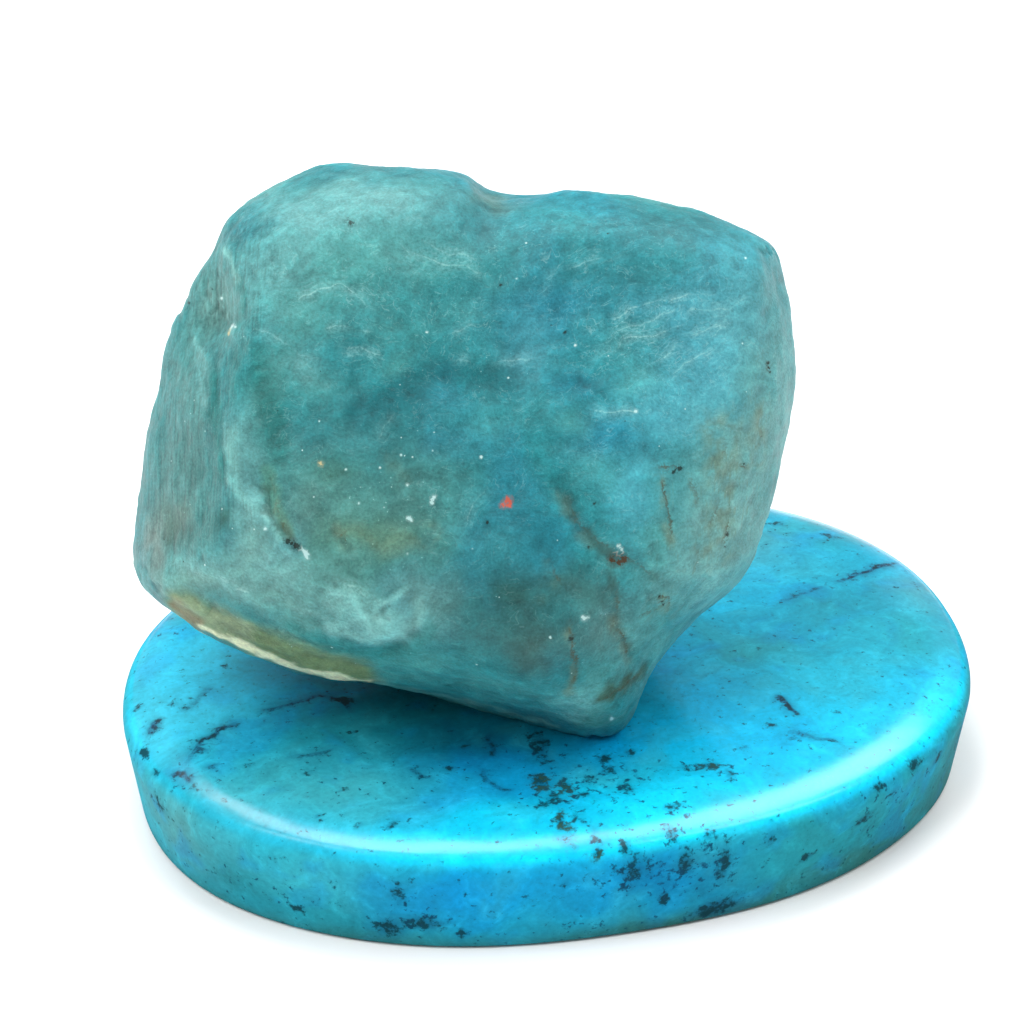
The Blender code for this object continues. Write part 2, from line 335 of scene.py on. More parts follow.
# Zones of the broad face, later ones over earlier: colour, centre, radii and strength
FACE_ZONES = (
    (SEA, (-5, 9), (5.5, 2.4), 1), (PALE, (-9.4, 8.4), (1.8, 2.6), 0.7),
    (PALE, (-4.6, 12), (4.2, 1.5), 0.9), (PALE, (-8.2, 11.2), (1.8, 1), 0.8),
    (STEEL, (-10.8, 10.9), (1.3, 1), 0.9), (STEEL, (-5, 13.7), (7, 0.6), 0.6),
    (STEEL, (0.6, 10.5), (2.2, 1.4), 0.8), (TAUPE, (1.3, 12), (1.2, 0.7), 0.7),
    (LAGOON, (5, 11), (4, 1), 0.5), (STEEL, (10.6, 10.6), (4, 1.2), 0.95),
    (AQUA, (13.8, 7.6), (2, 2.6), 0.8), (GREY, (14.9, 6.6), (0.8, 2.6), 0.6),
    (SEA, (-7.8, 6.4), (1.6, 1.4), 0.6), (SEA, (-8.4, 4.3), (1.2, 0.9), 0.5),
    (GREEN, (-9.6, 2.2), (1.2, 2.2), 0.9), (SEA, (-7.2, 2.8), (1.3, 0.9), 0.5),
    (DEEP, (-3.8, 0.6), (2.2, 1.2), 0.5), (LAGOON, (0.4, 7.5), (1.5, 0.9), 0.8),
    (LAGOON, (1, 1.2), (1.9, 1), 0.9), (LAGOON, (1.4, 4.6), (2.4, 0.7), 0.4),
    (BLUE, (4.4, 6.6), (3, 1.8), 0.9), (BLUE, (5.6, 3), (1.6, 0.8), 0.8),
    (BLUE, (6.6, 0.2), (2.2, 1.2), 0.7), (LAGOON, (8, 8.6), (3, 1.2), 0.5),
    (AQUA, (9.8, 1.4), (2.4, 1.4), 0.8), (AQUA, (12.2, 4), (3, 3), 0.95),
    (AQUA, (10.6, 6.6), (2.4, 0.9), 0.7), (LAGOON, (7.6, 5.2), (2, 0.8), 0.6),
    (MIST, (15, 2.6), (1.3, 3.6), 0.9), (MIST, (13.2, 0.2), (1.8, 1.8), 0.8),
    (MIST, (12.4, -3.4), (2.4, 3), 1), (MIST, (11.8, -6.2), (2.2, 1.6), 0.9),
    (AQUA, (8.2, -2.4), (1.5, 2.4), 0.7), (SEA, (9.6, -5), (1, 1.8), 0.6),
    (DEEP, (3.6, -3.6), (1.9, 1.8), 0.3), (LAGOON, (0, -2.8), (1.3, 1.3), 0.5),
    (SAGE, (-4.2, -4.6), (2.6, 1.2), 0.9), (GREY, (-7.4, -2.8), (1.4, 1.2), 0.6),
    (SAGE, (-6.2, -1.2), (1.2, 0.8), 0.5), (SEA, (-6.3, -6.1), (1.6, 0.8), 0.5),
    (GREY, (-1, -8), (1.3, 1.8), 0.7), (SLATE, (2.4, -7.4), (1.4, 1.5), 1),
    (UMBER, (5, -6.8), (1.5, 0.9), 0.7), (SLATE, (6.6, -7.3), (0.8, 0.8), 0.6),
    (UMBER, (3.4, -9.8), (1.6, 1.6), 1), (GREY, (6.4, -9), (0.9, 1.4), 0.4),
    (SEA, (9.4, -9.2), (1.3, 1.8), 0.7), (SEA, (-3, -10.8), (2.8, 1), 0.7),
    (SEA, (2, -12.2), (2.2, 0.8), 0.5), (FOAM, (5.8, -12.7), (1.3, 0.8), 0.7),
    (FOAM, (-4.2, -8.6), (1.8, 0.9), 1), (MIST, (-5.8, -7.4), (1.4, 0.8), 0.8),
    (MINT, (-9.2, -7.4), (2, 1), 0.7), (GREY, (-12.8, 2.4), (1, 3.6), 0.9),
    (PALE, (-10.7, -0.6), (0.8, 2.4), 0.9), (GREY, (-13.8, -1), (1.4, 3), 0.9),
    (TAUPE, (-14.2, -3.8), (0.9, 1.1), 0.9), (PEARL, (-15.4, -5), (0.9, 2), 0.9),
    (UMBER, (-13, -4.3), (0.9, 0.5), 0.5), (MINT, (-10.2, -4.8), (1.3, 1.7), 0.9),
    (MINT, (-12.4, -6.3), (2.6, 0.9), 1), (SLATE, (-11.6, -3.3), (0.75, 0.55), 1),
    (PALE, (-12, 7), (1.2, 1.6), 0.8), (AQUA, (3, 5.2), (1.2, 2.4), 0.5),
    (TEAL, (-1.6, 7), (1.8, 1.4), 0.7), (SEA, (-9, 3.2), (0.8, 0.8), 0.6),
    (LAGOON, (-5.2, 0.8), (1, 0.8), 0.6), (BLUE, (6.9, 0.8), (1.3, 0.9), 0.9),
    (MIST, (-2, -7), (1.7, 1), 0.6), (UMBER, (5.6, -9.2), (2.4, 0.9), 0.4),
    (UMBER, (0.8, -9.3), (1.3, 0.8), 0.4), (SAGE, (6.8, -13.3), (1.5, 0.8), 0.6),
    (PALE, (-9.8, -0.6), (0.7, 1.2), 0.5), (SEA, (5, 1), (0.9, 0.8), 0.5),
    (LAGOON, (1.8, -5.2), (1.4, 1), 0.5), (PEARL, (8, -8.6), (2.4, 2.2), 0.2),
    (REED, (-6.4, -4.6), (4.8, 4.4), 0.2), (REED, (-2.4, -2.2), (2.2, 2), 0.14),
    (REED, (-13.6, -7.2), (1.8, 1.6), 0.2), (MIST, (13.2, 6.2), (1.6, 2.4), 0.3),
    (PALE, (-3, 9), (1.4, 1), 0.3), (TEAL, (1, 9.3), (3, 1), 0.35), (TEAL, (-4, 6.2), (2, 1.4), 0.4),
    (LAGOON, (15, 3), (0.7, 1.2), 0.5), (GREEN, (-11.2, -1), (0.8, 1.4), 0.4),
    (SAGE, (-5, -7), (1, 0.8), 0.35), (SEA, (-3.2, 3.8), (1, 0.7), 0.5),
    (MIST, (-9.2, -5.2), (1.2, 1), 0.4), (SEA, (-1, -2.8), (1, 1), 0.3),
    (LAGOON, (7, -4.6), (0.9, 0.9), 0.5), (FOAM, (-8.2, -6.2), (1.2, 0.7), 0.5),
    (FOAM, (-5.4, -7.4), (1.3, 0.6), 0.5), (FOAM, (-10, -3.2), (0.8, 1.1), 0.5),
    (FOAM, (-3.2, -8.2), (1, 0.5), 0.5), (MIST, (-12.6, -5.6), (1.6, 0.7), 0.5),
    (MIST, (-7.6, 3.6), (1.2, 0.8), 0.4), (DEEP, (-2.2, 2), (1.6, 0.7), 0.4),
    (DEEP, (-7.2, -0.2), (1, 0.7), 0.3),
)
# Lines of the broad face: colour, line, half width and strength
FACE_LINES = (
    (DEEP, ((-4.9, 1.5), (-3.4, 2.3), (-2.2, 3), (-0.8, 3.5), (0.6, 3.2), (2, 2.8)), 1.25, 0.52),
    (DEEP, ((4.6, 3.3), (5.6, 3.1), (6.8, 2.4)), 0.5, 0.4),
    (GREEN, ((-9.8, 4.4), (-9.4, 2.4), (-8.9, 0.4), (-8.7, -0.8)), 0.8, 0.6),
    (GREEN, ((-12, 3.4), (-11.9, 1), (-11.6, -1.6)), 0.45, 0.7),
    (GREEN, ((-11, 8.4), (-10.7, 7), (-10.9, 5.8)), 0.35, 0.6),
    (MINT, ((-11.7, 9.6), (-11.2, 8.8), (-10.9, 8.1)), 0.25, 0.8),
    (MIST, ((-13.2, 5.2), (-12.8, 4.2), (-12.7, 2)), 0.35, 0.5),
    (MINT, ((-11.1, 0.6), (-11, -1.6), (-10.3, -2.8), (-9.4, -3.2), (-8.7, -4.4)), 0.5, 0.7),
    (FOAM, ((-9.5, -3.1), (-9.1, -3.6), (-8.7, -4.3)), 0.25, 0.8),
    (MIST, ((-11.9, -6.4), (-10.9, -7), (-10.4, -7.3)), 0.25, 0.6),
    (MINT, ((-8.4, -7.6), (-7.6, -8), (-6.8, -8.1)), 0.25, 0.6),
    (FOAM, ((-6.2, -7), (-5.2, -7.5), (-4.8, -8.2)), 0.35, 0.6),
    (FOAM, ((-6.4, -8.7), (-4.8, -9.3), (-3.2, -9.2), (-2.2, -8.4), (-2.1, -7.6)), 0.55, 0.7),
    # Painted shade below the lobe's lower edge
    (GREEN, ((-8.4, -8.9), (-6.6, -9.6), (-4.4, -10.1), (-2.4, -9.8), (-1.5, -8.8)), 0.55, 0.45),
    (FOAM, ((-3.9, -7.6), (-3.1, -7.2), (-2.6, -6.9)), 0.26, 0.5),
    (SAGE, ((-9.2, -1.4), (-9, -2.8), (-8.3, -4.2)), 0.55, 0.8),
    (OLIVE, ((-14, -7.9), (-12, -8.7), (-9.5, -9.8), (-7.4, -10.6), (-5.2, -11.2)), 1.3, 1),
    (REED, ((-14, -7.9), (-12.2, -8.5), (-10.8, -9)), 0.8, 0.9),
    (TAN, ((-12.2, -8.8), (-11.2, -9.1), (-10.6, -9.3)), 0.26, 0.4),
    (RED_BROWN, ((-14.4, -7.8), (-13.9, -8.2), (-13.2, -8.7)), 0.45, 0.5),
    (CREAM, ((-13, -9), (-11.6, -9.5), (-9.9, -10.2), (-8.4, -10.9), (-6.6, -11.4),
        (-4.8, -11.6)), 0.25, 0.9),
    (TAN, ((-5.4, -11.4), (-4, -11.7)), 0.3, 0.4),
    (MINT, ((-4.4, -11.8), (-1, -12.4), (2.6, -13.4), (4.6, -13.9)), 0.18, 0.5),
)
# Patchy brown hazes: colour, line, half width and strength
FACE_HAZES = (
    (TAN, ((-9.1, -2), (-8.8, -3.2), (-8.2, -4.4)), 0.4, 0.5),
    (TAN, ((-6, -3.8), (-5.4, -4.8)), 0.35, 0.35),
    (DUST, ((4.9, -2.4), (5.2, -3.6), (5.9, -4.4), (7.2, -5.5)), 0.7, 0.65),
    (DUST, ((7.5, -5.7), (8.3, -5.8), (9.2, -6.4)), 0.45, 0.5),
    (DUST, ((4.1, -5.4), (4.4, -6.2), (3.8, -7.2)), 0.6, 0.45),
    (DUST, ((7.2, -6.2), (7.2, -7.6)), 0.4, 0.5), (TAN, ((7.2, -8.4), (7.6, -9.2), (8, -10.2)), 0.5, 0.6),
    (TAN, ((5.1, -8.6), (5.3, -10.4), (5.2, -12)), 0.35, 0.6),
    (TAN, ((9.5, -1.6), (9.7, -3.4), (10, -4.8)), 0.4, 0.6),
    (TAN, ((9, -7.9), (9.7, -7.5), (10.2, -8)), 0.6, 0.55),
    (TAN, ((12.4, 0.8), (12.6, -2), (12.2, -5)), 1.6, 0.6), (TAN, ((14.4, 1.6), (14.2, -0.8)), 0.8, 0.6),
    (PEAT, ((6.9, -12.4), (7.4, -11.9), (8, -11.5)), 0.95, 0.85),
    (PEAT, ((8.3, -11.4), (8.9, -10.9)), 0.5, 0.7), (REED, ((-3.6, -0.6), (-2.8, -1.8)), 0.7, 0.15),
    (REED, ((-5.2, -4.4), (-3.4, -4.7), (-1.6, -4.4)), 1.1, 0.22),
)

# Thin stain lines: line and strength
STAIN_LINES = (
    (((5.2, -2.4), (5.3, -3.2), (5.8, -3.9), (6.5, -4.6), (7.3, -5.5)), 0.5),
    (((7.5, -5.6), (8.4, -5.7), (9.2, -6.3)), 0.6), (((7.3, -6.2), (7.4, -7.2), (7.3, -8.4)), 0.5),
    (((7.3, -8.6), (7.8, -9.4), (8, -10.6)), 0.8),
    (((5, -8.3), (5.3, -9.2), (5.4, -10.4), (5.2, -12)), 0.9),
    (((4.1, -5.4), (4.5, -6.2), (4.6, -6.9)), 0.5),
    (((9.5, -1), (9.7, -2.6), (10, -3.8), (9.9, -4.9)), 0.9),
    (((9.2, -1.1), (10.1, -1), (10.6, -1.2)), 0.9), (((10.6, -1.4), (11.1, -2.2), (11.2, -3.2)), 0.5),
    (((9.2, -7.5), (9.6, -7.2), (9.9, -7.4), (10.1, -7.9)), 1),
    (((8.4, -8.2), (9, -7.9), (9.8, -7.8)), 0.6), (((6.6, -12.6), (7.2, -12), (8, -11.6), (8.9, -11)), 0.9),
    (((12.6, 0.6), (12.7, -0.6)), 0.6), (((13.4, -0.9), (13.8, -1.1)), 1), (((12.2, -2.4), (12, -4)), 0.5),
    (((12.9, -3.4), (12.6, -4.9)), 0.7), (((14.5, 1), (14.4, 0.2)), 0.5), (((14.9, 4.2), (14.8, 3.6)), 0.9),
    (((11.4, -4.6), (11.1, -6.4)), 0.4), (((-9, -2.4), (-8.8, -3.4), (-8.3, -4.4)), 0.5),
    (((-5.8, -3.9), (-5.4, -4.7)), 0.8),
)

# Thin white threads inside the crystal: line and strength
THREADS = (
    (((-8.4, 6.6), (-7.2, 7.3), (-5.8, 7.7), (-5.1, 7.2), (-4.5, 6.6), (-3.9, 6.3)), 0.9),
    (((-6.7, 5.5), (-5.4, 5.6), (-4, 5.3)), 0.8), (((-6.2, 4.6), (-5, 4.6), (-4.3, 4.3), (-3.2, 4.3)), 1),
    (((-3.2, 9.7), (-2.2, 9.2), (-1.2, 8.8), (0.2, 8.5), (1.6, 8.2)), 0.8),
    (((-2, 9.9), (-0.6, 9.2), (0.8, 9)), 0.5), (((-1.2, 5.1), (0.2, 5.6), (1.3, 6.3)), 0.5),
    (((-1, 4.1), (1.2, 3.9), (4, 4.2)), 0.6), (((3.6, 7.8), (5, 8.5), (6.4, 8.9), (8.2, 9.2)), 0.6),
    (((3.4, 7.2), (4.6, 7.7), (6, 7.9)), 0.5),
    (((5.6, 5.4), (7.6, 6.3), (8.8, 6.8), (10.4, 7.2), (12.4, 7.3)), 0.9),
    (((6.4, 4.6), (8, 5.6), (9.8, 6.4), (11, 6.6)), 0.7), (((6.2, 4.1), (8, 5), (9.6, 5.4), (11, 6)), 0.8),
    (((8.2, 3.4), (9.8, 4.3), (11.4, 5.4), (13.2, 6.1)), 0.8), (((9.6, 3), (11.2, 4.2), (13.2, 5.2)), 0.6),
    (((9.8, 7), (10.8, 6.4), (12.6, 6.6), (14, 7.4)), 0.7),
    (((5.9, 1.9), (6.8, 1.6), (7.6, 1.6), (8.6, 1.5)), 0.8), (((-7.8, 3.4), (-6.6, 3), (-6.2, 2.4)), 0.5),
    (((-10.4, 6), (-9, 5), (-7.8, 4.4), (-6.4, 3.8)), 0.4), (((-4.3, 0.2), (-3.6, 0.9), (-3.1, 1.6)), 0.4),
    (((-12, -6.2), (-10.8, -6.9), (-10.2, -7.3)), 0.7), (((-6, -6.6), (-5, -6.9), (-4.4, -7.5)), 0.7),
    (((0.2, -3.8), (0.6, -2.8), (1.3, -1.9)), 0.4),
)

# Where fine upright stains, bright crystals with painted glints and white fibres crowd: centre, radii and
# strength
STREAK_FIELDS = (((12.6, -2), (2, 3), 1), ((11.6, -5.6), (1.6, 1.6), 0.6), ((14.6, 2), (0.8, 2.6), 0.6))
CRYSTAL_GLINT_FIELDS = (((-4, -3.4, 9), (3.4, 2.6, 6), 1), ((3, 3.2, 9), (5, 1.6, 6), 0.6))
FIBRE_FIELDS = (((10, 5), (5, 3.6), 0.7), ((-3, 7), (6, 3.4), 0.5))
FIBRE_GROUND = 0.3

# How much lighter or darker the soft patches are, how much painted light the ridges and painted shade the
# grooves take, and how much lighter the lit right of the face is painted
PATCH_TONE = 0.09
RIDGE_LIGHT_GROOVE_SHADE = 0.2
LIT_TONE = 0.11
LIT = ((8, 0.5), (8.5, 7.5))

# The white fibres rise to the right, by this much at the most
FLOW_RISE = radians(16)

# Specks on the broad face: place and radius, and then each kind's colour
DARK_SPECKS = (
    (-5.4, 10.7, 0.2), (4.9, 5.4, 0.09), (6.3, -2.8, 0.12), (6, -4.9, 0.1), (5.2, -9.3, 0.11),
    (1.2, -3.7, 0.06), (-8.3, -4.6, 0.16), (-7.9, -4.8, 0.15), (14.8, 4, 0.1), (14.9, 3.6, 0.07),
    (13.6, -0.9, 0.1), (12.8, -4.3, 0.08), (12.7, -4.9, 0.06), (10.4, -1.1, 0.11), (10.1, -1.3, 0.07),
    (-13.7, 7.2, 0.07), (9.5, -7.3, 0.1), (9.7, -7.7, 0.07), (-12.4, 7.8, 0.06), (1.8, 7.7, 0.08),
)
WHITE_SPECKS = (
    (-2.6, -1.95, 0.07), (-1.35, -2.5, 0.12), (-1.45, -2.75, 0.11), (-3.7, -3, 0.05), (-2.5, -3.5, 0.1),
    (-2.4, -3.62, 0.07), (-2.9, -0.5, 0.05), (0.9, -0.6, 0.06), (-3.9, -1.1, 0.05), (-2.6, -5.2, 0.05),
    (-7.5, -5.1, 0.11), (-7.4, -5.35, 0.15), (5.8, -8.3, 0.12), (6, -8.25, 0.08), (5.4, 4.8, 0.07),
    (8.3, 1.6, 0.08), (7.45, -4.85, 0.09), (7.6, -5, 0.07), (-11.2, 5.8, 0.12), (-11, 5.75, 0.08),
    (-11.9, 7.3, 0.07), (7.3, -13.4, 0.1), (4.2, -9.2, 0.05), (-9.4, -4, 0.1), (-5.5, -1.2, 0.05),
    (-1.7, 5.4, 0.06), (-4.9, -2.8, 0.06), (-6.8, 1.1, 0.05), (13.7, 9.1, 0.05), (2.6, 8, 0.05),
)
SPECK_TONES = (
    (DARK_SPECKS, srgb(26, 34, 28)),
    (WHITE_SPECKS, srgb(184, 216, 214)),
    (((-6.7, -0.9, 0.13), (-11.4, 5.5, 0.09)), srgb(196, 182, 134)),
    (((1.95, -2.85, 0.15), (2.2, -2.65, 0.17), (2.25, -2.9, 0.13)), srgb(194, 88, 62)),
    (((7.2, -5.55, 0.24), (7.5, -5.62, 0.25), (7.78, -5.45, 0.15)), srgb(80, 46, 4)),
)
STRAY_SPECKS = 150  # tiny ones strewn all over the lump, pale and dark
STRAY_DARK_SHARE = 0.35
STRAY_RADII = (0.02, 0.045)
SPECK_REACH = 0.25  # how far from a speck's edge its closeness dies away


def find_specks(places):
    """Offset of each place from its nearest speck in speck radii, its closeness, and that speck's colour."""
    specks = [(x, y, None, radius, tone) for marks, tone in SPECK_TONES for x, y, radius in marks]
    chance = np.random.default_rng(11)
    for centre in places[chance.integers(0, len(places), STRAY_SPECKS)]:
        tone = SPECK_TONES[0 if chance.random() < STRAY_DARK_SHARE else 1][1]
        specks.append((*centre, chance.uniform(*STRAY_RADII), tone))
    nearest = np.full(len(places), np.inf)
    offsets = np.full(places.shape, FAR)
    tones = np.zeros(places.shape)
    for x, y, z, radius, tone in specks:
        away = places - (x, y, 0 if z is None else z)
        if z is None:  # a speck of the broad face stays off the back
            away[:, 2] = FAR * smooth(places[:, 2], 1.5, 0.5)
        distance = np.sqrt((away ** 2).sum(axis=1)) - radius
        closer = distance < nearest
        nearest[closer] = distance[closer]
        offsets[closer] = away[closer] / radius
        tones[closer] = tone
    return offsets, np.clip(1 - nearest / SPECK_REACH, 0, 1), tones


def tint_lump(piece):
    """Lay the lump's zones on its points as one colour, with masks for what the nodes add."""
    mesh = piece.data
    points = vectors(mesh.vertices, "co")
    normals = vectors(mesh.vertex_normals, "vector")
    places = lump_places(points)
    facing = normals @ TO_WORLD
    front = smooth(places[:, 2], -2.5, 0.5)
    wander = clouds(places, 2.4, seed=5)
    warped = places + 0.7 * wander
    astray = places + 0.22 * clouds(places, 1, seed=24)

    paint = Paint(len(places), TEAL)
    # Broad drifts, greyer sides (partly the skin's own tone, partly painted sheen where the frosted skin
    # turns edge-on) and a misty back lie under the drawn zones, lines and hazes
    drift = cloud(places, 7, seed=4, detail=4)
    paint.lay(SEA, smooth(drift, 0.05, 0.6) * 0.7)
    paint.lay(BLUE, smooth(-drift, 0.05, 0.6) * 0.7)
    # Partly painted sheen: sides that face across the broad face turn greyer
    paint.lay(GREY, smooth(np.abs(facing[:, 0]), 0.5, 0.9) * 0.6)
    paint.lay(MIST, smooth(-facing[:, 2], -0.2, 0.6) * smooth(drift, -0.4, 0.3) * 0.5)
    paint.lay_zones(warped, FACE_ZONES, front)
    paint.lay_lines(astray, FACE_LINES, 0.8, front)
    patchy = smooth(cloud(places, 0.9, seed=26, detail=4), -0.45, 0.4)
    paint.lay_lines(astray, FACE_HAZES, 0.9, front * patchy)
    paint.lay(TAN, blob(places, *POCKET) * 0.25)
    patches = cloud(warped, 1.5, seed=9, detail=5)
    # Painted shading of the relief: ridges lighter and grooves darker; then painted light on the lit right of
    # the face
    ridges = np.clip(bulge(mesh, points, normals, rounds=3) / 0.03, -1, 1)
    tone = 1 + PATCH_TONE * np.clip(patches * 1.6, -1, 1) + RIDGE_LIGHT_GROOVE_SHADE * ridges
    tone += LIT_TONE * blob(places, *LIT)
    keep_colours(mesh, "zone_colour", np.clip(paint.colours * tone[:, None], 0, 1))

    offset, strength = line_offset(astray, STAIN_LINES, reach=0.5)
    keep(mesh, "stain_offset", offset)
    keep(mesh, "stain", strength * front)
    offset, strength = line_offset(astray + 0.15 * wander, THREADS, reach=0.8)
    keep(mesh, "thread_offset", offset)
    keep(mesh, "thread", strength * front * smooth(cloud(places, 1.4, seed=28), -0.5, 0.3))
    keep(mesh, "stain_field", gathered(warped, STREAK_FIELDS) * front)
    side = smooth(-facing[:, 0], 0.3, 0.75) * smooth(places[:, 1], -7, -4.5)
    keep(mesh, "scratched", np.clip(side + 0.15, 0, 1))
    fibrous = FIBRE_GROUND + summed(places, FIBRE_FIELDS)
    keep(mesh, "fibrous", np.clip(fibrous + 0.4 * cloud(places, 3, seed=10), 0, 1))
    keep(mesh, "crystal_glint", summed(places, CRYSTAL_GLINT_FIELDS))
    offsets, closeness, tones = find_specks(places)
    keep_places(mesh, "speck_offset", offsets)
    keep(mesh, "speck_close", closeness)
    keep_colours(mesh, "speck_colour", tones)
    keep_places(mesh, "place", places)
    rise = FLOW_RISE * smooth(places[:, 0], -6, 4)
    along = places[:, 0] * np.cos(rise) + places[:, 1] * np.sin(rise)
    across = places[:, 1] * np.cos(rise) - places[:, 0] * np.sin(rise)
    keep_places(mesh, "flow", np.c_[along, across, places[:, 2]] + wander)


# ---- node materials


class Shader:
    """Builds one material. Each method adds a node and returns the socket to read from it."""

    def __init__(self, name):
        self.material = bpy.data.materials.new(name)
        self.material.use_nodes = True
        self.tree = self.material.node_tree
        self.surface = self.tree.nodes["Principled BSDF"]

    def add(self, kind, inputs=None, output=0, **settings):
        node = self.tree.nodes.new("ShaderNode" + kind)
        for key, value in settings.items():
            setattr(node, key, value)
        for key, value in (inputs or {}).items():
            self.put(node.inputs[key], value)
        return node.outputs[output]

    def put(self, socket, value):
        if isinstance(value, bpy.types.NodeSocket):
            self.tree.links.new(value, socket)
        elif socket.type == "RGBA":
            socket.default_value = (*value, 1)
        else:
            socket.default_value = value

    def math(self, operation, first, second=0):
        return self.add("Math", {0: first, 1: second}, operation=operation)

    def times(self, *factors):
        product = factors[0]
        for factor in factors[1:]:
            product = self.math("MULTIPLY", product, factor)
        return product

    def swing(self, middle, *pairs):
        """The middle plus each field's departure from a half, times its amount."""
        for field, amount in pairs:
            depart = self.math("SUBTRACT", field, 0.5)
            middle = self.add("Math", {0: depart, 1: amount, 2: middle}, operation="MULTIPLY_ADD")
        return middle

    def crossing(self, field, width):
        """1 where the field crosses its middle, fading to nothing this far from it."""
        return self.step(self.math("ABSOLUTE", self.math("SUBTRACT", field, 0.5)), width, 0)

    def scaled(self, vector, factors):
        return self.add("VectorMath", {0: vector, 1: factors}, operation="MULTIPLY")

    def length(self, vector):
        return self.add("VectorMath", {0: vector}, "Value", operation="LENGTH")

    def toned(self, colour, tone):
        """The colour made lighter or darker."""
        return self.add("VectorMath", {0: colour, "Scale": tone}, operation="SCALE")

    def noise(self, place, scale, detail, roughness):
        inputs = {"Vector": place, "Scale": scale, "Detail": detail, "Roughness": roughness}
        return self.add("TexNoise", inputs)

    def step(self, value, low, high, bottom=0, top=1):
        """bottom below low, top above high, smooth between."""
        inputs = {"Value": value, "From Min": low, "From Max": high, "To Min": bottom, "To Max": top}
        return self.add("MapRange", inputs, interpolation_type="SMOOTHSTEP")

    def mix(self, share, under, over):
        return self.add("Mix", {0: share, 6: under, 7: over}, 2, data_type="RGBA", clamp_factor=True)

    def read(self, name, output="Fac"):
        """A point attribute."""
        return self.add("Attribute", output=output, attribute_name=name)

    def bump(self, height, distance, strength):
        return self.add("Bump", {"Height": height, "Distance": distance, "Strength": strength})

    def finish(self, **sockets):
        for name, value in sockets.items():
            self.put(self.surface.inputs[name.replace("_", " ")], value)
        return self.material


# Noises: scale per millimetre, detail and roughness, and how tightly some are packed along each axis
GRAIN = (7, 1, 0.75)
RAG = (1.5, 3, 0.7)
FIBRE = (1, 3, 0.58)
CROSS = (1, 2, 0.55)
SCRATCH = (1, 1, 0.7)
FIBRE_PACKING = (0.35, 1.7, 1)
CROSS_PACKING = (1.1, 0.7, 0.9)
SCRATCH_PACKING = (7, 0.4, 3)

FLUORITE_IOR = 1.434
FROSTED_RELIEF = 0.14 * MM
GLOW_DEPTH = 2.4 * MM  # how far light wanders inside the frosted stone
GLOW_TINT = (0.5, 1, 1.05)  # red the least


def fluorite_material():
    mat = Shader("frosted_fluorite")
    place = mat.read("place", "Vector")
    flow = mat.read("flow", "Vector")
    grain = mat.noise(place, *GRAIN)
    rag = mat.noise(place, *RAG)
    fibre = mat.noise(mat.scaled(flow, FIBRE_PACKING), *FIBRE)
    cross = mat.noise(mat.scaled(flow, CROSS_PACKING), *CROSS)
    scratch = mat.noise(mat.scaled(place, SCRATCH_PACKING), *SCRATCH)

    # Cloudy depth, soft streaks, scratches and the grain of the frosted skin, lighter and darker
    scratched = mat.read("scratched")
    tone = mat.swing(1, (rag, 0.5), (fibre, 0.6), (grain, 0.7))
    tone = mat.math("ADD", tone, mat.times(mat.swing(0, (scratch, 0.85)), scratched))
    colour = mat.toned(mat.read("zone_colour", "Color"), tone)

    # Fine white fibres wherever a soft field crosses its middle, and threads along the drawn lines
    along = mat.crossing(fibre, 0.014)
    across = mat.crossing(cross, 0.009)
    web = mat.times(mat.math("MAXIMUM", along, across), mat.read("fibrous"))
    web = mat.times(web, mat.step(rag, 0.42, 0.6))
    colour = mat.mix(mat.times(web, 0.27), colour, FROST)
    offset = mat.swing(mat.read("thread_offset"), (rag, 0.25), (grain, 0.08))
    core = mat.step(mat.math("ABSOLUTE", offset), 0.09, 0)
    strand = mat.step(mat.math("PINGPONG", offset, 0.13), 0.06, 0)
    strand = mat.times(strand, mat.step(fibre, 0.44, 0.56), 0.6)
    glow = mat.step(mat.math("ABSOLUTE", offset), 0.6, 0, 0, 0.38)
    thread = mat.math("MAXIMUM", mat.math("MAXIMUM", core, strand), glow)
    thread = mat.times(thread, mat.read("thread"), mat.step(grain, 0.3, 0.6, 0.4, 1))
    colour = mat.mix(mat.times(thread, 0.64), colour, FROST)

    # Stains: thin dusty broken lines, and a field of fine upright ones at the right
    offset = mat.swing(mat.read("stain_offset"), (rag, 0.5), (grain, 0.4))
    line = mat.step(mat.math("ABSOLUTE", offset), 0.13, 0.01)
    line = mat.times(line, mat.read("stain"), mat.step(rag, 0.38, 0.56, 0.25, 1))
    colour = mat.mix(mat.times(line, 0.85), colour, RUST)
    field = mat.times(mat.read("stain_field"), mat.step(scratch, 0.5, 0.69))
    field = mat.times(field, mat.step(rag, 0.42, 0.6))
    colour = mat.mix(mat.times(field, 0.5), colour, TAN)

    # Tiny bright crystals with painted glints, then the specks
    crystal_glint = mat.math("ADD", grain, mat.times(mat.read("crystal_glint"), 0.08))
    colour = mat.mix(mat.step(crystal_glint, 0.79, 0.88, 0, 0.7), colour, FROST)
    radii_off = mat.length(mat.read("speck_offset", "Vector"))
    ragged = mat.swing(radii_off, (rag, 3), (grain, 2))
    halo = mat.step(ragged, 2, 0.9, 0, 0.2)
    speck = mat.math("ADD", halo, mat.step(ragged, 1, 0.5, 0, 0.65))
    speck = mat.times(speck, mat.step(mat.read("speck_close"), 0.35, 0.55))
    colour = mat.mix(speck, colour, mat.read("speck_colour", "Color"))

    rough = mat.step(rag, 0.3, 0.7, 0.44, 0.58)
    relief = mat.math("ADD", mat.times(grain, 0.4), mat.times(scratch, scratched, 0.48))
    normal = mat.bump(relief, FROSTED_RELIEF, 0.5)
    return mat.finish(
        Base_Color=colour, Roughness=rough, Normal=normal, IOR=FLUORITE_IOR, Specular_IOR_Level=0.25,
        Subsurface_Weight=0.8, Subsurface_Radius=GLOW_TINT, Subsurface_Scale=GLOW_DEPTH)


# ---- the base's mesh

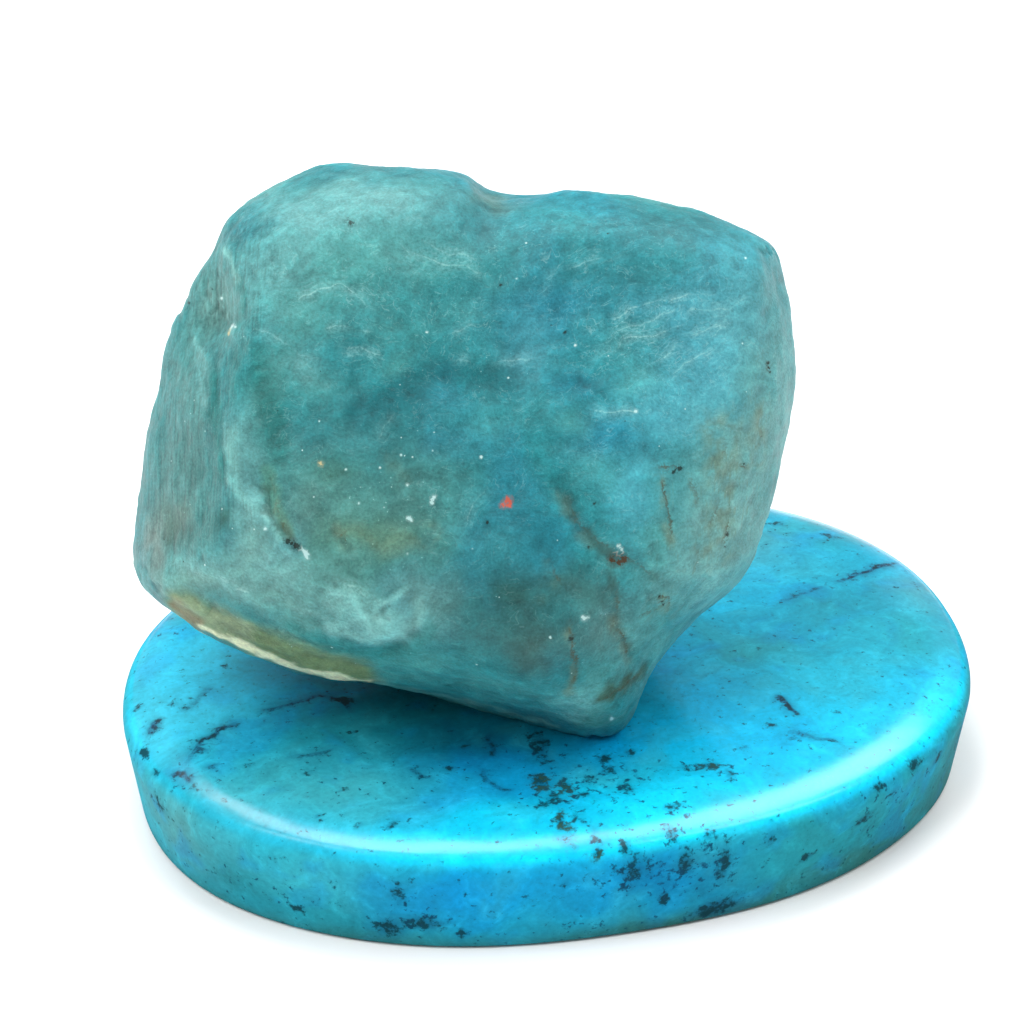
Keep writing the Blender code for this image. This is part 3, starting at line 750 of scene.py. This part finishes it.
FULLNESS = 2.18  # power of the oval: 2 is an ellipse
SIDES = 360
FOOT_INSET = 0.6 * MM
FOOT_ROUND = 0.4 * MM
TOP_RINGS = 64
SIDE_RINGS = 20
FOOT_RINGS = 4
SHOULDER_RINGS = 10
CROWN_RINGS = 9
SHOULDER_TURN = radians(22)  # the shoulder rolls over to this slope
SHOULDER_ROUND = 1.25 * MM
CROWN_RUN = 2.5 * MM  # and the top eases from that slope to flat over this run

# Hand polishing left the oval uneven: direction in degrees from +X, spread in degrees and push outward
UNEVEN = (
    (38, 22, 0.3 * MM), (-12, 16, -0.26 * MM), (-38, 16, -0.14 * MM), (-95, 30, -0.2 * MM),
    (168, 12, -0.14 * MM), (200, 16, 0.18 * MM),
)


def base_outline(angle, inset, size):
    """Point of the base's oval, pulled in evenly by the inset."""
    across, along = cos(angle), sin(angle)
    x = size.x / 2 * abs(across) ** (2 / FULLNESS) * (1 if across > 0 else -1)
    y = size.y / 2 * abs(along) ** (2 / FULLNESS) * (1 if along > 0 else -1)
    heading = degrees(atan2(y, x))
    for direction, spread, push in UNEVEN:
        apart = (heading - direction + 180) % 360 - 180
        inset -= push * np.exp(-(apart / spread) ** 2)
    return x * (1 - 2 * inset / size.x), y * (1 - 2 * inset / size.y)


def base_profile(thickness):
    """Rings from the underside up to the flat top: inset from the side's top, and height."""
    rings = []
    for step in range(FOOT_RINGS + 1):
        turn = pi / 2 * step / FOOT_RINGS
        rings.append((FOOT_INSET + FOOT_ROUND * (1 - sin(turn)), FOOT_ROUND * (1 - cos(turn))))
    crown_round = CROWN_RUN / sin(SHOULDER_TURN)
    crown_drop = crown_round * (1 - cos(SHOULDER_TURN))
    shoulder = thickness - crown_drop - SHOULDER_ROUND * cos(SHOULDER_TURN)
    for step in range(1, SIDE_RINGS):
        share = step / SIDE_RINGS
        rings.append((FOOT_INSET * (1 - share), FOOT_ROUND + (shoulder - FOOT_ROUND) * share))
    for step in range(SHOULDER_RINGS + 1):
        turn = (pi / 2 - SHOULDER_TURN) * step / SHOULDER_RINGS
        rings.append((SHOULDER_ROUND * (1 - cos(turn)), shoulder + SHOULDER_ROUND * sin(turn)))
    inset = rings[-1][0]
    for step in range(1, CROWN_RINGS + 1):
        slope = SHOULDER_TURN * (1 - step / CROWN_RINGS)
        run = CROWN_RUN - crown_round * sin(slope)
        rings.append((inset + run, thickness - crown_round * (1 - cos(slope))))
    return rings


def make_base():
    """The oval as rings of points: foot, side, shoulder and a top that closes in to its middle."""
    low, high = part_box("oval_stone_base")
    size = high - low
    mesh = bmesh.new()
    angles = [2 * pi * side / SIDES for side in range(SIDES)]
    loops = []
    for inset, height in base_profile(size.z):
        loops.append([mesh.verts.new((*base_outline(angle, inset, size), height)) for angle in angles])
    rim = [corner.co.copy() for corner in loops[-1]]
    for step in range(1, TOP_RINGS):
        scale = 1 - step / TOP_RINGS
        loops.append([mesh.verts.new((corner.x * scale, corner.y * scale, corner.z)) for corner in rim])
    for lower, upper in zip(loops, loops[1:]):
        for side in range(SIDES):
            after = (side + 1) % SIDES
            mesh.faces.new((lower[side], lower[after], upper[after], upper[side]))
    mesh.faces.new(reversed(loops[0]))
    mesh.faces.new(loops[-1])
    for face in mesh.faces:
        face.smooth = True
    data = bpy.data.meshes.new("polished_oval_base")
    mesh.to_mesh(data)
    mesh.free()
    return new_object("polished_oval_base", data)


# ---- the base's colours

CYAN = srgb(14, 162, 194)
BRIGHT = srgb(58, 206, 238)
GLOW = srgb(0, 186, 236)
# Bright cyan painted as highlight round the front rim
PAINTED_RIM_HIGHLIGHT = srgb(10, 206, 242)
# Dark teal painted as the lump's shadow on the top
PAINTED_SHADOW = srgb(4, 82, 96)
AZURE = srgb(0, 140, 208)
COBALT = srgb(6, 112, 156)
PETROL = srgb(22, 130, 146)
MARINE = srgb(36, 148, 158)
JADE = srgb(52, 162, 176)
CELADON = srgb(80, 150, 154)
DUSK = srgb(26, 108, 116)
MOSS = srgb(46, 92, 76)
INK = srgb(10, 66, 100)
SOOT = srgb(9, 52, 58)
GOLD = srgb(58, 82, 30)

# Zones of the top: colour, centre, radii and strength
TOP_ZONES = (
    (BRIGHT, (-19, -0.5), (4, 4), 1), (BRIGHT, (-16, 4), (4, 2.4), 1), (AZURE, (-13.4, 4.8), (1.6, 1), 0.7),
    (PETROL, (-12.5, -4.6), (5, 3), 1), (PETROL, (-8, -4.4), (3.4, 2.6), 0.8),
    (JADE, (-17, -7.6), (2.6, 2), 0.9), (JADE, (-13.6, -9.4), (5, 2.6), 1),
    (JADE, (-12, -12), (4.4, 1.6), 0.7), (COBALT, (-6, -8), (3.2, 2.2), 0.9),
    (COBALT, (-3, -9.5), (2.6, 2.2), 0.7), (COBALT, (-4, -12.4), (1.8, 1.6), 0.6),
    (AZURE, (-8, -11.6), (2.2, 1.4), 0.5), (AZURE, (0.8, -8.8), (2, 1.6), 0.9),
    (GLOW, (2.6, -9), (3.4, 2.4), 0.6), (GLOW, (6.4, -8.6), (3.4, 2.4), 0.8),
    (GLOW, (8, -12), (4.4, 2.4), 0.6), (MARINE, (10, -2.6), (3, 1.6), 0.8),
    (JADE, (12.4, -6.2), (2.6, 1.6), 0.5), (MARINE, (18.5, -3), (3.4, 3), 0.8),
    (DUSK, (15.6, 0.8), (4.8, 1.7), 0.45), (CELADON, (20.6, 1.2), (1.6, 2), 0.6),
    (JADE, (15, 4.4), (3.4, 1.4), 0.4), (CELADON, (12, 8.4), (4.4, 2.6), 0.7),
    # The brightest cyan zones toward the front edge, here and on the next two lines, are painted highlight
    (AZURE, (17.6, 7.6), (1.4, 0.8), 0.4), (PAINTED_RIM_HIGHLIGHT, (1, -14.2), (5.4, 1.8), 0.8),
    (PAINTED_RIM_HIGHLIGHT, (-6.4, -13.6), (2.4, 1.4), 0.7), (PAINTED_RIM_HIGHLIGHT, (12, -9.8), (4, 2.6), 0.5),
    # The darkest zones here and on the last line are painted shadow of the lump falling on the top
    (PAINTED_RIM_HIGHLIGHT, (12.6, -5.6), (2.6, 1.4), 0.4), (PAINTED_SHADOW, (-6.6, -6.4), (3.6, 1.3), 0.6),
    (PAINTED_SHADOW, (-13.6, -2.6), (2.6, 1.4), 0.3),
)
# Zones of the side: colour, centre, radii and strength
SIDE_ZONES = (
    (CELADON, (-21, -7, 3.4), (2.8, 5, 2.6), 0.9), (DUSK, (-19, -10.4, 1.8), (3.4, 3.4, 2), 0.7),
    (JADE, (-15.5, -13.2, 3.6), (4.6, 2.6, 2), 0.9), (DUSK, (-13.5, -14.2, 1), (4, 2.4, 1), 0.6),
    (AZURE, (-9, -16.2, 3.4), (5, 2.5, 2.2), 0.7), (AZURE, (-1, -17.4, 3.6), (5, 2, 2.2), 0.6),
    (COBALT, (-12, -15.2, 2.2), (1.6, 1.5, 1.8), 0.5), (COBALT, (0.6, -17.4, 3.6), (1.8, 1.5, 2), 0.8),
    (COBALT, (4, -17, 3), (1.6, 1.5, 2.2), 0.6), (MARINE, (8.4, -16.2, 3.6), (3, 2, 1.8), 0.6),
    (DUSK, (13.6, -14.2, 2.6), (6, 3.4, 2.2), 0.6), (MOSS, (12, -15, 0.8), (6, 3, 1.1), 0.7),
    (DUSK, (19, -9.6, 2.8), (3.4, 4.4, 2.4), 0.8), (MOSS, (18.6, -10.2, 1), (4, 4, 1.2), 0.6),
    (MOSS, (2, -17, 0.5), (6, 2, 0.9), 0.7), (MOSS, (22, -3, 2.4), (2.4, 7, 2.6), 0.6),
)

# Veins on the top: line and strength
VEINS = (
    (((21.4, 4.7), (19.9, 3.9), (19, 3.6), (17.7, 3.2), (16.5, 2.7)), 1.3),
    (((16.5, 2.7), (15, 2.3), (13.1, 1.6)), 0.6),
    (((-20.6, -5.2), (-19.6, -4.2), (-19.1, -3.5), (-18.1, -2.6), (-16.5, -2.1)), 1.3),
    (((-16.5, -2.1), (-15.6, -1.7), (-13.7, -1.3), (-12.6, -0.9), (-11.5, -1.6), (-11.2, -3.3)), 0.9),
    (((-21.4, -5.4), (-20.6, -5.2), (-20, -6.6)), 1.2), (((-19.5, -5.9), (-18.7, -5.7)), 0.8),
    (((-19.6, -4.2), (-18.9, -4.3)), 0.8), (((-19.9, -0.6), (-18.6, 0.4), (-17.6, 1.6)), 0.6),
    (((-21.6, -1.8), (-21.2, -1.2), (-20.7, -0.5)), 1.3), (((10, -6.8), (10.2, -7.8), (10.5, -9.2)), 1.3),
    (((9.2, -10.1), (9.9, -10.5), (10.6, -11.1), (11.4, -11.6), (11.9, -12.4)), 0.7),
    (((-9.9, -8.4), (-9.4, -9), (-8.7, -10)), 0.7), (((-5, -6.4), (-5.4, -8.8)), 0.8),
    (((-6, -9.2), (-6.3, -10.5), (-5.7, -11.6), (-4.8, -11.8)), 0.8),
    (((-15.5, -6.1), (-13.6, -6), (-12.6, -5.8)), 0.7),
)

# Spots of dark matrix on the top: centre, radii and strength
TOP_SPOTS = (
    ((-2.9, -8.2), (0.5, 1.8), 0.7), ((-3.7, -11.3), (0.45, 0.8), 1), ((-2.6, -12.2), (0.45, 0.8), 1),
    ((-3.4, -12.8), (0.45, 0.5), 0.9), ((-4, -13.3), (0.4, 0.4), 0.8), ((-1.9, -12.9), (0.32, 0.32), 1),
    ((0, -10.2), (0.32, 0.36), 1.2), ((-0.1, -11.2), (0.45, 0.45), 0.8), ((0.3, -12.8), (0.36, 0.6), 0.9),
    ((-1.2, -11.6), (0.28, 0.24), 0.8), ((1.3, -10), (0.36, 0.28), 0.8), ((-3.5, -14.8), (0.32, 0.9), 1),
    ((-2.7, -14.5), (0.24, 0.5), 0.8), ((-2.4, -16.9), (0.26, 0.4), 1), ((-2.2, -16), (0.22, 0.6), 0.9),
    ((-0.9, -16.8), (0.26, 0.4), 1), ((1.9, -15), (0.65, 0.26), 0.9), ((1.5, -16.4), (0.26, 0.6), 1),
    ((3.4, -16.8), (0.26, 0.4), 1), ((3.6, -12), (0.34, 0.36), 0.9), ((4.8, -12.2), (0.65, 0.34), 1),
    ((5.5, -13.2), (0.24, 0.6), 0.9), ((6.9, -11.1), (0.3, 0.28), 0.8), ((8.9, -9.5), (0.3, 0.26), 0.9),
    ((9.5, -10.9), (0.28, 0.24), 0.8), ((-7.7, -9.1), (0.36, 0.26), 0.9), ((-6.5, -7.5), (0.36, 0.36), 0.6),
    ((-11.6, -4.6), (0.28, 0.2), 0.9), ((-11.4, -1.6), (0.34, 0.4), 1), ((-21.7, 1.2), (0.36, 0.26), 0.7),
    ((-22, -2.6), (0.3, 0.5), 1), ((-21.7, -4.6), (0.28, 0.28), 0.9), ((-19.8, 0.3), (0.28, 0.2), 0.8),
    ((-20.1, -6.9), (0.34, 0.28), 0.8), ((-14.7, -7.6), (0.3, 0.2), 0.8),
    ((-14.9, -11.3), (0.24, 0.4), 0.9), ((-13.1, -12.5), (0.24, 0.22), 0.9),
    ((-11.7, -12.8), (0.28, 0.26), 1.1), ((-13.2, -9.4), (0.28, 0.18), 0.8), ((-17.2, -6), (0.5, 0.3), 0.5),
    ((18.3, 7.6), (0.7, 0.4), 0.6), ((15.8, 9.6), (0.5, 0.4), 0.6), ((-16.7, 3.2), (0.22, 0.2), 0.8),
    ((19.6, 6.4), (0.22, 0.2), 0.7), ((12.6, -9.2), (0.2, 0.2), 0.8),
)
# Spots on the side
SIDE_SPOTS = (
    ((-11.8, -15.2, 3.6), (0.35, 1, 0.8), 0.7), ((-12.2, -14.7, 1.3), (0.6, 1, 0.6), 1),
    ((-10.5, -15.2, 1.7), (1.2, 1, 0.35), 0.8), ((-8.7, -15.9, 1.1), (0.25, 1, 0.3), 1),
    ((-16.2, -12.3, 1.6), (0.3, 1, 0.3), 0.9), ((-4.1, -17.2, 3.9), (0.2, 1, 0.5), 0.7),
    ((-0.6, -17.3, 4.3), (0.7, 1, 0.8), 0.8), ((2, -17.3, 4.3), (0.4, 1, 0.9), 0.9),
    ((4, -17.2, 3.8), (0.45, 1, 1.2), 0.9), ((1, -17.1, 2.1), (0.3, 1, 0.3), 1),
    ((3.7, -16.8, 0.8), (1.2, 1, 0.5), 1), ((15.3, -13.4, 5), (0.35, 1, 0.4), 1),
    ((17.1, -12, 4.2), (0.4, 1, 0.35), 0.9), ((12.8, -14.9, 5), (0.25, 1, 0.3), 0.9),
    ((13.8, -14.3, 4.3), (0.35, 1, 0.25), 0.8), ((11.9, -15.2, 3.6), (0.6, 1, 0.35), 0.9),
    ((8.7, -16.1, 2.6), (0.6, 1, 0.25), 0.8), ((19.6, -9.4, 3.6), (0.7, 1, 0.8), 0.6),
    ((-21.6, -5.4, 4), (0.8, 1, 0.6), 0.6), ((6.4, -16.8, 4.6), (0.4, 1, 0.4), 0.6),
)
# Olive gold in some of them
GOLD_SPOTS = (
    ((-3.7, -11.4), (0.4, 0.6), 1), ((-2.7, -12.4), (0.4, 0.7), 1), ((-3.5, -14.9), (0.3, 1), 1),
    ((-2.5, -17), (0.26, 0.34), 1.2), ((4.9, -12.2), (0.6, 0.3), 0.7), ((-3.4, -16.2), (0.26, 0.5), 1),
)
# Where fine dark dots crowd on the top, and on the side
TOP_CROWDS = (
    ((-1, -12.5), (5, 3.4), 1), ((5, -12.5), (3.6, 2.2), 0.8), ((-3, -9), (2.4, 2.4), 0.7),
    ((-19.5, -5), (2.4, 2.6), 0.6), ((-13, -8.5), (5, 4), 0.4), ((-8.5, -9.2), (2, 1.4), 0.8),
    ((1, -16), (4.6, 1.6), 0.9),
)
SIDE_CROWDS = (
    ((1.5, -17.3, 3.8), (5, 1.5, 2.4), 1), ((-11, -15.2, 2.2), (4, 1.5, 1.6), 0.8),
    ((14, -14.2, 3.8), (5, 2.5, 1.6), 0.8), ((-18, -11.2, 2.2), (5, 4, 1.8), 0.5),
    ((0, -17, 0.8), (16, 2, 0.8), 0.7),
)


def tint_base(piece):
    """Lay the base's zones on its points, with masks for its veins, matrix spots and crowded dots."""
    mesh = piece.data
    places = vectors(mesh.vertices, "co") / MM
    wander = clouds(places, 3, seed=30)
    warped = places + 0.9 * wander
    astray = places + 0.22 * clouds(places, 1, seed=34)
    upright = vectors(mesh.vertex_normals, "vector")[:, 2]
    steep = smooth(upright, 0.8, 0.35)

    paint = Paint(len(places), CYAN)
    drift = cloud(warped, 9, seed=31, detail=4)
    paint.lay(MARINE, smooth(drift, 0.05, 0.5) * 0.5)
    paint.lay(GLOW, smooth(-drift, 0.05, 0.5) * 0.4)
    paint.lay_zones(warped, TOP_ZONES, 1 - 0.6 * steep)
    slope = smooth(upright, 0.995, 0.965)
    # Painted highlight: brighter cyan where the top eases down to its front shoulder
    rim_highlight_paint = slope * (1 - steep) * smooth(places[:, 1], -4, -9) * smooth(places[:, 0], -18, -9)
    paint.lay(PAINTED_RIM_HIGHLIGHT, rim_highlight_paint * 0.75)
    paint.lay(MARINE, steep * 0.5)
    paint.lay_zones(warped, SIDE_ZONES, steep)
    patches = cloud(warped, 2.6, seed=33, detail=5)
    paint.lay(AZURE, smooth(patches, 0.1, 0.6) * 0.25)
    paint.lay(JADE, smooth(-patches, 0.1, 0.6) * 0.25)
    paint.lay(MOSS, smooth(places[:, 2], 1.2, 0.1) * steep * 0.5)
    keep_colours(mesh, "zone_colour", paint.colours)
    offset, strength = line_offset(astray, VEINS, reach=1.2)
    keep(mesh, "vein_offset", offset)
    keep(mesh, "vein", strength * (1 - steep))
    matrix = gathered(astray, TOP_SPOTS) * (1 - smooth(steep, 0.1, 0.9)) + gathered(astray, SIDE_SPOTS)
    keep(mesh, "matrix", matrix)
    keep(mesh, "gold", gathered(astray, GOLD_SPOTS) * (1 - steep))
    # A few dots are strewn everywhere, most of them toward the back
    strewn = smooth(cloud(places, 6, seed=35), 0.05, 0.5) * (0.05 + 0.4 * smooth(places[:, 1], 0, 8))
    crowd = gathered(places, TOP_CROWDS) * (1 - steep) + gathered(places, SIDE_CROWDS) * steep
    keep(mesh, "crowd", np.maximum(crowd, strewn))
    keep(mesh, "polish", smooth(upright, 0.8, 0.9) * (0.6 + 0.4 * slope))
    keep_places(mesh, "place", places)
    keep_places(mesh, "flow", places + 1.4 * wander)


# Noises: scale per millimetre, detail and roughness
FLECK = (3.6, 2, 0.7)
CRUMB = (2.3, 3, 0.65)
MOTTLE = (0.8, 4, 0.65)
RIPPLE = (0.45, 1, 0.5)

TURQUOISE_IOR = 1.5
POLISHED_RELIEF = 0.1 * MM


def turquoise_material():
    mat = Shader("polished_turquoise")
    place = mat.read("place", "Vector")
    fleck = mat.noise(place, *FLECK)
    crumb = mat.noise(place, *CRUMB)
    mottle = mat.noise(mat.read("flow", "Vector"), *MOTTLE)

    tone = mat.swing(1, (mottle, 0.8), (fleck, 0.44))
    colour = mat.toned(mat.read("zone_colour", "Color"), tone)
    colour = mat.mix(mat.step(mottle, 0.54, 0.74, 0, 0.14), colour, BRIGHT)

    # Veins and matrix: a blue haze round crumbs of dark and of olive gold, and fine dots strewn between
    matrix = mat.read("matrix")
    colour = mat.mix(mat.step(matrix, 0.05, 1, 0, 0.6), colour, INK)
    offset = mat.math("ABSOLUTE", mat.swing(mat.read("vein_offset"), (crumb, 0.45)))
    vein = mat.math("MAXIMUM", mat.step(offset, 0.3, 0.06), mat.step(offset, 0.9, 0, 0, 0.5))
    vein = mat.times(vein, mat.read("vein"), mat.step(crumb, 0.34, 0.54, 0.6, 1))
    colour = mat.mix(mat.times(vein, 0.9), colour, INK)
    crumbs = mat.math("ADD", mat.times(matrix, 0.34), crumb)
    crumbs = mat.math("ADD", crumbs, mat.times(vein, 0.16))
    colour = mat.mix(mat.step(crumbs, 0.59, 0.77, 0, 0.88), colour, SOOT)
    gold = mat.times(mat.read("gold"), mat.step(crumb, 0.44, 0.56))
    colour = mat.mix(mat.times(gold, 0.65), colour, GOLD)
    dots = mat.math("ADD", mat.times(mat.read("crowd"), 0.17), crumb)
    colour = mat.mix(mat.step(dots, 0.68, 0.8, 0, 0.65), colour, INK)

    polish = mat.read("polish")
    rough = mat.math("SUBTRACT", mat.step(mottle, 0.3, 0.7, 0.62, 0.72), mat.times(polish, 0.3))
    relief = mat.noise(place, *RIPPLE)
    normal = mat.bump(relief, POLISHED_RELIEF, 0.4)
    return mat.finish(
        Base_Color=colour, Roughness=rough, Normal=normal, IOR=TURQUOISE_IOR, Specular_IOR_Level=0.05,
        Coat_Weight=polish, Coat_Roughness=0.2, Coat_Normal=normal)


# ---- studio and camera

FLOOR_SIZE = 6
FLOOR_TONE = 0.85
WORLD_TONE = 0.35
LIGHTS_AIM = (0, 0, 0.01)
# Name, place, width, height and watts; the two at the back make the highlights round the base's edge
SOFTBOXES = (
    ("left", (-0.34, -0.1, 0.5), 0.36, 0.36, 3),
    ("right", (0.3, -0.16, 0.52), 0.36, 0.36, 1.8),
    ("back left", (-0.04, 0.24, 0.54), 0.27, 0.34, 2),
    ("back right", (0.27, 0.22, 0.54), 0.18, 0.34, 1.2),
)

# The camera looks at the middle of the pair, along the way the broad face looks
CAMERA_TURN = radians(-15.02)
CAMERA_TILT = radians(29.92)
CAMERA_AIM = (-0.00196, 0.00053, 0.01458)
CAMERA_DISTANCE = 0.1742
CAMERA_LENS = 120


def make_floor():
    bpy.ops.mesh.primitive_plane_add(size=FLOOR_SIZE)
    floor = bpy.context.object
    floor.name = "studio_floor"
    mat = Shader("pale_floor")
    floor.data.materials.append(mat.finish(Base_Color=(FLOOR_TONE,) * 3, Roughness=0.9))


def add_softbox(name, place, width, height, power):
    """A soft rectangular light that faces the stones."""
    light = bpy.data.lights.new(name, "AREA")
    light.shape = "RECTANGLE"
    light.size = width
    light.size_y = height
    light.energy = power
    lamp = new_object(name, light)
    lamp.location = place
    lamp.rotation_euler = (Vector(LIGHTS_AIM) - Vector(place)).to_track_quat("-Z", "Y").to_euler()


def light_studio():
    world = bpy.data.worlds.new("studio")
    bpy.context.scene.world = world
    world.use_nodes = True
    background = world.node_tree.nodes["Background"]
    background.inputs["Color"].default_value = (WORLD_TONE, WORLD_TONE, WORLD_TONE, 1)
    for softbox in SOFTBOXES:
        add_softbox(*softbox)


def add_camera():
    data = bpy.data.cameras.new("camera")
    data.lens = CAMERA_LENS
    data.clip_start = 0.01
    camera = new_object("camera", data)
    level = cos(CAMERA_TILT)
    back = Vector((sin(CAMERA_TURN) * level, -cos(CAMERA_TURN) * level, sin(CAMERA_TILT)))
    camera.location = Vector(CAMERA_AIM) + back * CAMERA_DISTANCE
    camera.rotation_euler = (pi / 2 - CAMERA_TILT, 0, CAMERA_TURN)
    bpy.context.scene.camera = camera


bpy.context.scene.view_settings.view_transform = "Standard"
lump = fine_copy("raw_fluorite", "fluorite_lump")
grain_lump(lump)
tint_lump(lump)
lump.data.materials.clear()
lump.data.materials.append(fluorite_material())
base = make_base()
tint_base(base)
base.data.materials.append(turquoise_material())
for piece, node, slot in ((lump, "raw_fluorite", "fluorite"), (base, "oval_stone_base", "turquoise_stone")):
    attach(piece, "root")
    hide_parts(node)
make_floor()
light_studio()
add_camera()
